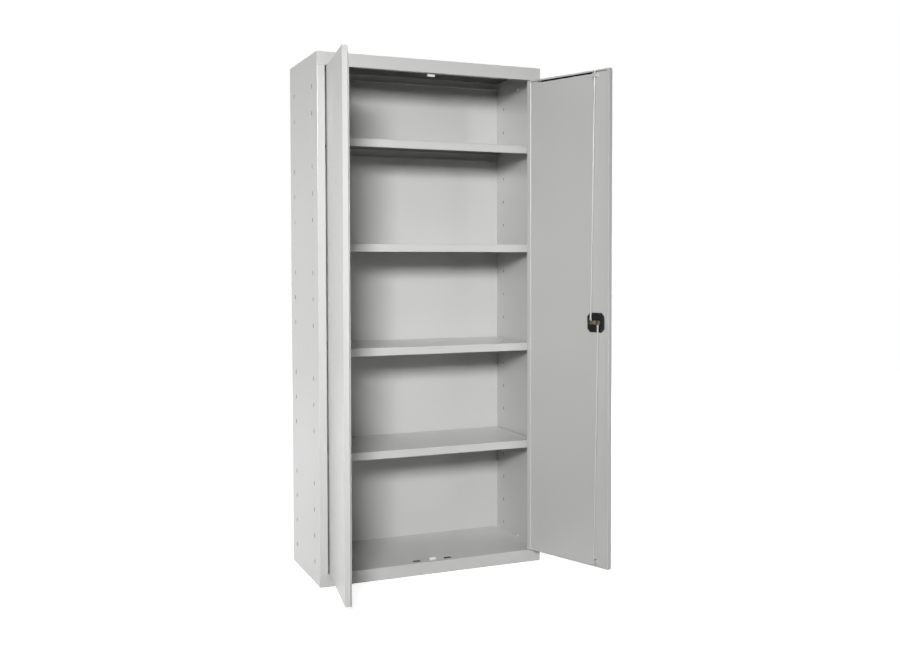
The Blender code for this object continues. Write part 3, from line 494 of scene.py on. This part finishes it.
# Rod slots: two slots are punched in the floor sheet for the lower locking rod, one for
# each hand of door. Their cut edges and a narrow rim round them are drawn near-black, a painted shade,
# as at the shelf slots.
deck_top = 0.0475
rod_slot_half = (0.012, 0.0065)
rod_slot_middle = (0.065, right_low[1] + 0.0305)
rod_rim_width = 0.0028
rod_rim_height = 0.0001
rod_rim_lap = 0.0001
rod_rim_wall = 0.0002


def slot_corners(margin, middle):
    half_x, half_y = rod_slot_half[0] + margin, rod_slot_half[1] + margin
    corners = ((1, -1), (1, 1), (-1, 1), (-1, -1))
    return [(middle[0] + half_x * x, middle[1] + half_y * y) for x, y in corners]


rims = bmesh.new()
for side in (1.0, -1.0):
    middle = (side * rod_slot_middle[0], rod_slot_middle[1])
    rows = []
    for level, margin in (
            (deck_top - sheet, -rod_rim_lap), (deck_top + rod_rim_height, -rod_rim_lap),
            (deck_top + rod_rim_height, rod_rim_width), (deck_top - rod_rim_lap, rod_rim_width),
            (deck_top - rod_rim_lap, rod_rim_wall), (deck_top - sheet, rod_rim_wall)):
        rows.append([rims.verts.new((x, y, level)) for x, y in slot_corners(margin, middle)])
    skin_rows(rims, rows + rows[:1])
# The rims are painted shade round the slots.
rod_slot_rims = set_out("rod_slot_rims", closed_mesh(rims, "rod_slot_rims"))
fit_piece(rod_slot_rims, painted_shade, "cabinet", "powder_coat")

# Shelves and clips: trays of 1 mm steel folded down on four sides, coated as the body is,
# each hung on four folded clips of zinc-plated strip whose tongues hook into the slots.
shelf_nodes = [f"shelf_{count}" for count in (1, 2, 3, 4)]
dress(powder_coat, *shelf_nodes)
zinc_colour = (0.56, 0.575, 0.59, 1.0)
rolling_lines = (1.0, 1.0, 0.35)
clip_edge = 0.00035
cad_merge_distance = 2e-6
flat_within = math.radians(0.5)

pressed_zinc, tree, shader, place = blank_material("bright_zinc_plating")
rolled = wired(tree, "ShaderNodeMapping", {"Vector": place, "Scale": rolling_lines})
tone = use_group(tree, tone_variation, {
    "Place": rolled.outputs["Vector"], "Colour": zinc_colour, "Cloud size": 0.006,
    "Contrast": 0.25, "Smoothest": 0.24, "Roughest": 0.42})
relief = use_group(tree, surface_relief, {
    "Place": rolled.outputs["Vector"], "Fine size": 0.0005, "Fine height": 0.000008,
    "Wave size": 0.004, "Wave height": 0.00001})
shader.inputs["Metallic"].default_value = 1.0
feed_shader(tree, shader, tone["Colour"], tone["Roughness"], relief["Height"])


def kept_cad_mesh(name, *nodes):
    """A merged copy of CAD nodes with their flat faces whole, to start a finer piece from."""
    bm = bmesh.new()
    for node in nodes:
        bm.from_mesh(frame["nodes"][node].data)
    bmesh.ops.remove_doubles(bm, verts=bm.verts, dist=cad_merge_distance)
    bmesh.ops.dissolve_limit(bm, angle_limit=flat_within, verts=bm.verts, edges=bm.edges)
    bmesh.ops.recalc_face_normals(bm, faces=bm.faces)
    mesh = bpy.data.meshes.new(name)
    bm.to_mesh(mesh)
    bm.free()
    mesh.shade_smooth()
    return set_out(name, mesh)


def soften_edges(piece, radius, steps=2, from_angle=30.0):
    """Break the edges as tumbling or a mould does."""
    bevel = piece.modifiers.new("soft_edges", "BEVEL")
    bevel.width = radius
    bevel.segments = steps
    bevel.limit_method = "ANGLE"
    bevel.angle_limit = math.radians(from_angle)
    bevel.harden_normals = False
    normals = piece.modifiers.new("even_normals", "WEIGHTED_NORMAL")
    normals.keep_sharp = True


clip_nodes = [
    f"{shelf}_clip_{hand}_{end}"
    for shelf in shelf_nodes for hand in ("left", "right") for end in ("front", "rear")]
shelf_clips = kept_cad_mesh("shelf_clips", *clip_nodes)
soften_edges(shelf_clips, clip_edge)
fit_piece(shelf_clips, pressed_zinc, "cabinet", "zinc_steel", *clip_nodes)

# Door stops: two moulded blocks of white nylon, pressed into the fascia's return and into
# the floor, which meet the overlap strip of the left door when it is shut.
nylon_colour = (0.78, 0.78, 0.76, 1.0)
nylon_depth = (0.004, 0.004, 0.0035)
stop_edge = 0.0006


def moulded_material(name, colour, grain_size, grain_height, smoothest, roughest, contrast=0.04):
    """A moulded plastic with the grain of its mould and a slow sink over it."""
    material, tree, shader, place = blank_material(name)
    tone = use_group(tree, tone_variation, {
        "Place": place, "Colour": colour, "Cloud size": 0.02, "Contrast": contrast,
        "Smoothest": smoothest, "Roughest": roughest})
    relief = use_group(tree, surface_relief, {
        "Place": place, "Fine size": grain_size, "Fine height": grain_height,
        "Wave size": 0.012, "Wave height": 0.00006})
    feed_shader(tree, shader, tone["Colour"], tone["Roughness"], relief["Height"])
    return material, shader


white_nylon, shader = moulded_material(
    "white_moulded_nylon", nylon_colour, grain_size=0.0006, grain_height=0.00001,
    smoothest=0.34, roughest=0.5)
shader.inputs["Subsurface Weight"].default_value = 0.12
shader.inputs["Subsurface Radius"].default_value = nylon_depth
door_stops = kept_cad_mesh("door_stop_blocks", "top_door_stop", "bottom_door_stop")
soften_edges(door_stops, stop_edge)
fit_piece(door_stops, white_nylon, "cabinet", "white_plastic", "top_door_stop", "bottom_door_stop")

# Door leaves: an outer pan with four folded edges and an inner sheet between its lips,
# spot welded and coated together. The left leaf carries a flat bar along its free edge,
# which covers the joint between the doors.
dress(powder_coat, "left_door_skin", "left_door_liner", "right_door_skin", "right_door_liner")
dress(powder_coat, "overlap_strip")

# Pivots: a headed steel pin through the fascia and the floor at the outer corner of each
# door, turning in a collared nylon bush that is pressed into the door's edge.
pin_edge = 0.0003
bush_edge = 0.0002
pin_nodes = [f"{hand}_{end}_pivot_pin" for hand in ("left", "right") for end in ("top", "bottom")]
pivot_pins = kept_cad_mesh("pivot_pins", *pin_nodes)
soften_edges(pivot_pins, pin_edge)
fit_piece(pivot_pins, pressed_zinc, "cabinet", "zinc_steel", *pin_nodes)
for hand in ("left", "right"):
    bush_nodes = [f"{hand}_{end}_bush" for end in ("top", "bottom")]
    bushes = kept_cad_mesh(hand + "_door_bushes", *bush_nodes)
    soften_edges(bushes, bush_edge)
    fit_piece(bushes, white_nylon, hand + "_door", "white_plastic", *bush_nodes)

# Lock dish: a moulded cup of black glass-filled plastic with a fine spark-eroded grain,
# clipped through the right-hand door from the front, so that its back shows inside.
dish_colour = (0.012, 0.0125, 0.014, 1.0)
dish_edge = 0.0007
black_moulding, shader = moulded_material(
    "black_grained_moulding", dish_colour, grain_size=0.0009, grain_height=0.00003,
    smoothest=0.34, roughest=0.52, contrast=0.25)
lock_dish = kept_cad_mesh("lock_dish_moulding", "lock_dish")
soften_edges(lock_dish, dish_edge, steps=3)
fit_piece(lock_dish, black_moulding, "right_door", "black_plastic", "lock_dish")

# Dish back: the mould leaves a raised eight-sided frame, a hub and four ribs on the back of
# the cup, which stiffen it behind the spindle. They are drawn as on the shut door, with x
# towards its hinge and y into the cabinet.
joints = {joint["name"]: joint for joint in frame["joints"]}
right_hinge = joints["right_door_hinge"]
opened = math.radians(-min(right_hinge["range_deg"])) * right_hinge["axis"][2]
hinge_foot = Vector((*right_hinge["pos_m"][:2], 0.0))
right_leaf = Matrix.Translation(hinge_foot) @ Matrix.Rotation(opened, 4, "Z")
lock_x, lock_z = -0.356, 0.990
back_plane = 0.018
rib_sink = 0.0002
frame_outer = (0.0370, 0.0340, 0.0125)
frame_inner = (0.0345, 0.0315, 0.0115)
frame_height = 0.0021
hub_radii = (0.0085, 0.0105)
hub_steps = 28
rib_start = 0.0100
rib_reach_x = 0.0350
rib_reach_z = 0.0320
rib_width = 0.0016
rib_height = 0.0015
rib_edge = 0.0003


def eight_sides(half_width, half_height, chamfer):
    return [
        (half_width, -half_height + chamfer), (half_width, half_height - chamfer),
        (half_width - chamfer, half_height), (-half_width + chamfer, half_height),
        (-half_width, half_height - chamfer), (-half_width, -half_height + chamfer),
        (-half_width + chamfer, -half_height), (half_width - chamfer, -half_height)]


def add_ring(bm, outer, inner, low, high):
    """A flat-topped ring between two like outlines, standing round the lock's middle."""
    rows = []
    for outline, level in ((inner, low), (inner, high), (outer, high), (outer, low)):
        rows.append([bm.verts.new((lock_x + x, level, lock_z + z)) for x, z in outline])
    skin_rows(bm, rows + rows[:1])


def add_bar(bm, low, high):
    """A straight bar between two opposite corners."""
    for vert in bmesh.ops.create_cube(bm, size=1.0)["verts"]:
        vert.co = [low[axis] + (vert.co[axis] + 0.5) * (high[axis] - low[axis]) for axis in range(3)]


def leaf_piece(bm, name):
    """Turn a mesh outwards and take it from the right door's own frame to its place."""
    bmesh.ops.recalc_face_normals(bm, faces=bm.faces)
    mesh = bpy.data.meshes.new(name)
    bm.to_mesh(mesh)
    bm.free()
    mesh.transform(right_leaf)
    mesh.shade_smooth()
    return set_out(name, mesh)


ribs = bmesh.new()
rib_foot, rib_top = back_plane - rib_sink, back_plane + rib_height
add_ring(ribs, eight_sides(*frame_outer), eight_sides(*frame_inner), rib_foot, back_plane + frame_height)
hub_inner, hub_outer = (circle(radius, hub_steps) for radius in hub_radii)
add_ring(ribs, hub_outer, hub_inner, rib_foot, rib_top)
for side in (1.0, -1.0):
    low_x, high_x = sorted((side * rib_start, side * rib_reach_x))
    low_z, high_z = sorted((side * rib_start, side * rib_reach_z))
    add_bar(ribs, (lock_x + low_x, rib_foot, lock_z - rib_width / 2),
            (lock_x + high_x, rib_top, lock_z + rib_width / 2))
    add_bar(ribs, (lock_x - rib_width / 2, rib_foot, lock_z + low_z),
            (lock_x + rib_width / 2, rib_top, lock_z + high_z))
dish_ribs = leaf_piece(ribs, "dish_back_ribs")
soften_edges(dish_ribs, rib_edge)
fit_piece(dish_ribs, black_moulding, "right_door", "black_plastic")

# Grip: a turned and moulded handle that lies in the dish, with a rounded finger bar across
# its disc. It turns a quarter to draw the locking rods.
grip_edge = 0.0009
grip = kept_cad_mesh("turning_grip", "grip_handle")
soften_edges(grip, grip_edge, steps=3)
fit_piece(grip, black_moulding, "lock_handle", "black_plastic", "grip_handle")

# Cylinder: the lock's core of nickel-plated brass in the middle of the grip, faced in a
# lathe, which leaves fine rings about its axis, with an upright keyway.
nickel_colour = (0.66, 0.64, 0.60, 1.0)
lathe_feed = 0.00035
lathe_depth = 0.000006
core_edge = 0.0003
turned_nickel, tree, shader, place = blank_material("turned_nickel")
lock_centre = tuple(joints["lock_handle_turn"]["pos_m"])
offset = wired(tree, "ShaderNodeVectorMath", {0: place, 1: lock_centre}, operation="SUBTRACT")
radius = wired(tree, "ShaderNodeVectorMath", {0: offset.outputs["Vector"]}, operation="LENGTH")
lathe_turns = maths(tree, "MULTIPLY", radius.outputs["Value"], 2 * math.pi / lathe_feed)
lathe_rings = maths(tree, "MULTIPLY", maths(tree, "SINE", lathe_turns), lathe_depth)
tone = use_group(tree, tone_variation, {
    "Place": place, "Colour": nickel_colour, "Cloud size": 0.004, "Contrast": 0.12,
    "Smoothest": 0.16, "Roughest": 0.3})
shader.inputs["Metallic"].default_value = 1.0
feed_shader(tree, shader, tone["Colour"], tone["Roughness"], lathe_rings)
cylinder = kept_cad_mesh("cylinder_core", "lock_cylinder")
soften_edges(cylinder, core_edge, from_angle=50.0)
fit_piece(cylinder, turned_nickel, "lock_cylinder", "nickel", "lock_cylinder")

# Spindle, cam and nut: behind the dish a cam sits on the grip's spindle under a zinc-plated
# nut, and a pin near each of its ends carries a locking rod. The cam is zinc plated and
# passivated, in a thin film that drifts from straw to brown and olive.
film_size = 1 / 110.0
film_olive = (0.22, 0.185, 0.12, 1.0)
film_brown = (0.25, 0.185, 0.115, 1.0)
film_green = (0.20, 0.18, 0.13, 1.0)
film_straw = (0.50, 0.40, 0.30, 1.0)
cam_edge = 0.0004
spindle_edge = 0.0003
nut_edge = 0.0005
yellow_zinc, tree, shader, place = blank_material("yellow_passivated_zinc")
film = wired(tree, "ShaderNodeValToRGB", {"Fac": noise(tree, place, 1 / film_size, 2.0, 0.6)})
stops = film.color_ramp.elements
stops[0].position, stops[0].color = 0.30, film_olive
stops[1].position, stops[1].color = 0.72, film_straw
stops.new(0.5).color = film_brown
stops.new(0.62).color = film_green
tone = use_group(tree, tone_variation, {
    "Place": place, "Colour": film.outputs["Color"], "Cloud size": 0.005, "Contrast": 0.6,
    "Smoothest": 0.25, "Roughest": 0.45})
relief = use_group(tree, surface_relief, {
    "Place": place, "Fine size": 0.0007, "Fine height": 0.00001,
    "Wave size": 0.004, "Wave height": 0.00002})
shader.inputs["Metallic"].default_value = 1.0
feed_shader(tree, shader, tone["Colour"], tone["Roughness"], relief["Height"])
cam = kept_cad_mesh("rod_cam", "lock_cam")
soften_edges(cam, cam_edge)
fit_piece(cam, yellow_zinc, "lock_handle", "yellow_zinc", "lock_cam")
spindle = kept_cad_mesh("grip_spindle", "lock_spindle")
soften_edges(spindle, spindle_edge)
fit_piece(spindle, pressed_zinc, "lock_handle", "zinc_steel", "lock_spindle")
nut = kept_cad_mesh("spindle_nut", "cam_nut")
soften_edges(nut, nut_edge, from_angle=45.0)
fit_piece(nut, pressed_zinc, "lock_handle", "zinc_steel", "cam_nut")

# Retaining washers: a domed push-on washer of the same plating on each of the cam's pins
# holds the flattened end of a locking rod.
washer_throw = 0.018
washer_profile = [
    (0.00305, 0.0267), (0.0084, 0.0267), (0.0087, 0.0269), (0.0087, 0.0274),
    (0.0080, 0.0278), (0.0058, 0.0280), (0.0048, 0.0286), (0.00305, 0.0287)]
washer_steps = 32
washer_sharp_from = math.radians(40)
washers = bmesh.new()
for side in (1.0, -1.0):
    pin_x = lock_x + side * washer_throw
    rows = []
    for radius, level in washer_profile:
        outline = circle(radius, washer_steps)
        rows.append([washers.verts.new((pin_x + x, level, lock_z + z)) for x, z in outline])
    skin_rows(washers, rows + rows[:1])
rod_washers = leaf_piece(washers, "rod_retaining_washers")
rod_washers.data.set_sharp_from_angle(angle=washer_sharp_from)
fit_piece(rod_washers, yellow_zinc, "lock_handle", "yellow_zinc")

# Locking rods: two 7 mm steel rods, pressed flat to an eye over the cam's pins and coated
# with the door, that run up and down behind it and shoot past its edges.
rod_edge = 0.0005
for end in ("upper", "lower"):
    rod = kept_cad_mesh(end + "_locking_rod", end + "_rod")
    soften_edges(rod, rod_edge, from_angle=40.0)
    fit_piece(rod, powder_coat, end + "_rod", "powder_coat", end + "_rod")

# Rod guides: pressed steel straps, welded to the inner sheet at the top and the bottom of
# the right-hand door before it is coated, wide enough for the sideways swing of the rods.
guide_edge = 0.0003
for end in ("upper", "lower"):
    guide = kept_cad_mesh(end + "_guide_strap", end + "_rod_guide")
    soften_edges(guide, guide_edge)
    fit_piece(guide, powder_coat, "right_door", "powder_coat", end + "_rod_guide")

# Tunnels and slit: near-black sheets under each guide, and inside the door behind its top slit,
# are painted shade.
tunnel_half = 0.0036
tunnel_play = 0.0042
tunnel_front, tunnel_back = 0.0124, 0.0288
upper_tunnel = (1.9190, 1.9330)
lower_tunnel = (0.0645, 0.0785)
dark_skin = 0.0001
slit_low = (-0.3475, -0.0039, 1.9230)
slit_high = (-0.0540, -0.0037, 1.9458)
linings = bmesh.new()
for (low_z, high_z), play_left, play_right in (
        (upper_tunnel, 0.0, tunnel_play), (lower_tunnel, tunnel_play, 0.0)):
    near_x, far_x = lock_x - tunnel_half - play_left, lock_x + tunnel_half + play_right
    for level in (tunnel_front, tunnel_back - dark_skin):
        add_bar(linings, (near_x, level, low_z), (far_x, level + dark_skin, high_z))
add_bar(linings, slit_low, slit_high)
# These sheets are painted shade under the guides and behind the slit.
guide_and_slit_shade = leaf_piece(linings, "uncoated_inner_steel")
fit_piece(guide_and_slit_shade, painted_shade, "right_door", "powder_coat")

# Floor: one white sheet without a visible end, a little greyer round the cabinet's foot,
# where it keeps the soft shadow. Where the cabinet stands on it, it is dark.
floor_reach = 30.0
floor_colour = (0.50, 0.50, 0.50, 1.0)
floor_near_white, floor_near, floor_far = 0.84, 0.8, 3.0
floor_corners = ((-1, -1), (1, -1), (1, 1), (-1, 1))
floor_mesh = bpy.data.meshes.new("floor_sheet")
floor_mesh.from_pydata(
    [(floor_reach * x, floor_reach * y, 0.0) for x, y in floor_corners], [], [(0, 1, 2, 3)])
floor_sheet = set_out("floor_sheet", floor_mesh)
white_floor, tree, shader, place = blank_material("white_floor")


def seen_by(tree, *rays):
    """Whether the ray that looks is of one of these kinds."""
    path = wired(tree, "ShaderNodeLightPath").outputs
    seen = path[rays[0]]
    for ray in rays[1:]:
        seen = maths(tree, "MAXIMUM", seen, path[ray])
    return seen


away = wired(tree, "ShaderNodeVectorMath", {0: place}, operation="LENGTH").outputs["Value"]
whiteness = wired(tree, "ShaderNodeMapRange", {
    "Value": away, "From Min": floor_near, "From Max": floor_far,
    "To Min": floor_near_white, "To Max": 1.0}).outputs["Result"]
across, along = wired(tree, "ShaderNodeSeparateXYZ", {0: place}).outputs[:2]
beside = maths(tree, "GREATER_THAN", maths(tree, "ABSOLUTE", across), right_high[0])
before = maths(tree, "LESS_THAN", along, right_low[1])
behind = maths(tree, "GREATER_THAN", along, right_high[1])
uncovered = maths(tree, "MAXIMUM", beside, maths(tree, "MAXIMUM", before, behind))
open_white = maths(tree, "MULTIPLY", uncovered, whiteness)
seen = seen_by(tree, "Is Camera Ray", "Is Glossy Ray", "Is Transmission Ray")
tree.links.new(maths(tree, "MULTIPLY", seen, open_white), shader.inputs["Emission Strength"])
shader.inputs["Base Color"].default_value = floor_colour
shader.inputs["Roughness"].default_value = 0.9
shader.inputs["Specular IOR Level"].default_value = 0.0
shader.inputs["Emission Color"].default_value = (1.0, 1.0, 1.0, 1.0)
floor_mesh.materials.append(white_floor)

# Surroundings: a white room that hardly lights the cabinet. The coat mirrors it white at
# the height of the cabinet, and dimmer overhead and to the right, where the room is open.
room_light = 0.02
overhead_level, overhead_from, overhead_full = 0.55, 0.04, 0.24
right_level, right_from, right_full = 0.3, 0.3, 0.75
world = bpy.data.worlds.new("studio")
bpy.context.scene.world = world
world.use_nodes = True
tree = world.node_tree
direction = wired(tree, "ShaderNodeTexCoord").outputs["Generated"]
across, along, up = wired(tree, "ShaderNodeSeparateXYZ", {0: direction}).outputs
overhead = wired(tree, "ShaderNodeMapRange", {
    "Value": up, "From Min": overhead_from, "From Max": overhead_full,
    "To Min": 1.0, "To Max": overhead_level}).outputs["Result"]
rightward = wired(tree, "ShaderNodeMapRange", {
    "Value": across, "From Min": right_from, "From Max": right_full,
    "To Min": 1.0, "To Max": right_level}).outputs["Result"]
mirrored = maths(tree, "MULTIPLY", overhead, rightward)
shown = maths(tree, "MAXIMUM", mirrored, seen_by(tree, "Is Camera Ray", "Is Transmission Ray"))
seen = seen_by(tree, "Is Camera Ray", "Is Glossy Ray", "Is Transmission Ray")
room = wired(tree, "ShaderNodeMix", {"Factor": seen, "A": room_light, "B": shown}, data_type="FLOAT")
background = tree.nodes["Background"]
tree.links.new(room.outputs["Result"], background.inputs["Color"])
background.inputs["Strength"].default_value = 1.0

# Lamps: a soft box high in front and to the left, a faint one beside it, one low on the
# left, and two that light the back and the right-hand side, which the photograph hides.


def soft_box(name, place, aim, size, watts, spread=180.0):
    light = bpy.data.lights.new(name, "AREA")
    light.shape = "RECTANGLE"
    light.size, light.size_y = size
    light.energy = watts
    light.spread = math.radians(spread)
    lamp = bpy.data.objects.new(name, light)
    bpy.context.scene.collection.objects.link(lamp)
    facing = (Vector(aim) - Vector(place)).to_track_quat("-Z", "Y").to_matrix().to_4x4()
    lamp.matrix_world = Matrix.Translation(place) @ facing


soft_box("front_soft_box", (-2.4, -5.0, 2.4), (0.0, 0.2, 1.05), (1.0, 0.8), 56.5, 80.0)
soft_box("fill_soft_box", (0.6, -5.0, 2.4), (0.0, 0.2, 1.05), (1.0, 0.8), 2.8, 80.0)
soft_box("left_soft_box", (-4.3, 1.9, 0.8), (-0.4, 0.2, 0.9), (1.2, 1.0), 79.0)
soft_box("rear_soft_box", (2.6, 5.0, 4.4), (0.0, 0.2, 0.9), (3.8, 2.6), 190.0)
soft_box("right_soft_box", (4.2, 2.4, 1.4), (0.4, 0.2, 0.9), (1.4, 1.4), 70.0)

# Camera: the photograph's place and lens, turned to the right and slightly down, with a
# small shift because the photograph was trimmed.
camera_place = (-1.4896, -3.9033, 1.2281)
camera_yaw = math.radians(23.85)
camera_pitch = math.radians(-2.09)
camera_roll = math.radians(-0.07)
camera_data = bpy.data.cameras.new("photo_camera")
camera_data.sensor_width = 36.0
camera_data.lens = 42.83
camera_data.shift_x = -0.0426
camera_data.shift_y = -0.0287
camera = bpy.data.objects.new("photo_camera", camera_data)
bpy.context.scene.collection.objects.link(camera)
bpy.context.scene.camera = camera
tilt = Matrix.Rotation(math.pi / 2 + camera_pitch, 4, "X") @ Matrix.Rotation(camera_roll, 4, "Z")
heading = Matrix.Rotation(-camera_yaw, 4, "Z") @ tilt
camera.matrix_world = Matrix.Translation(camera_place) @ heading

bpy.context.scene.view_settings.view_transform = "Standard"
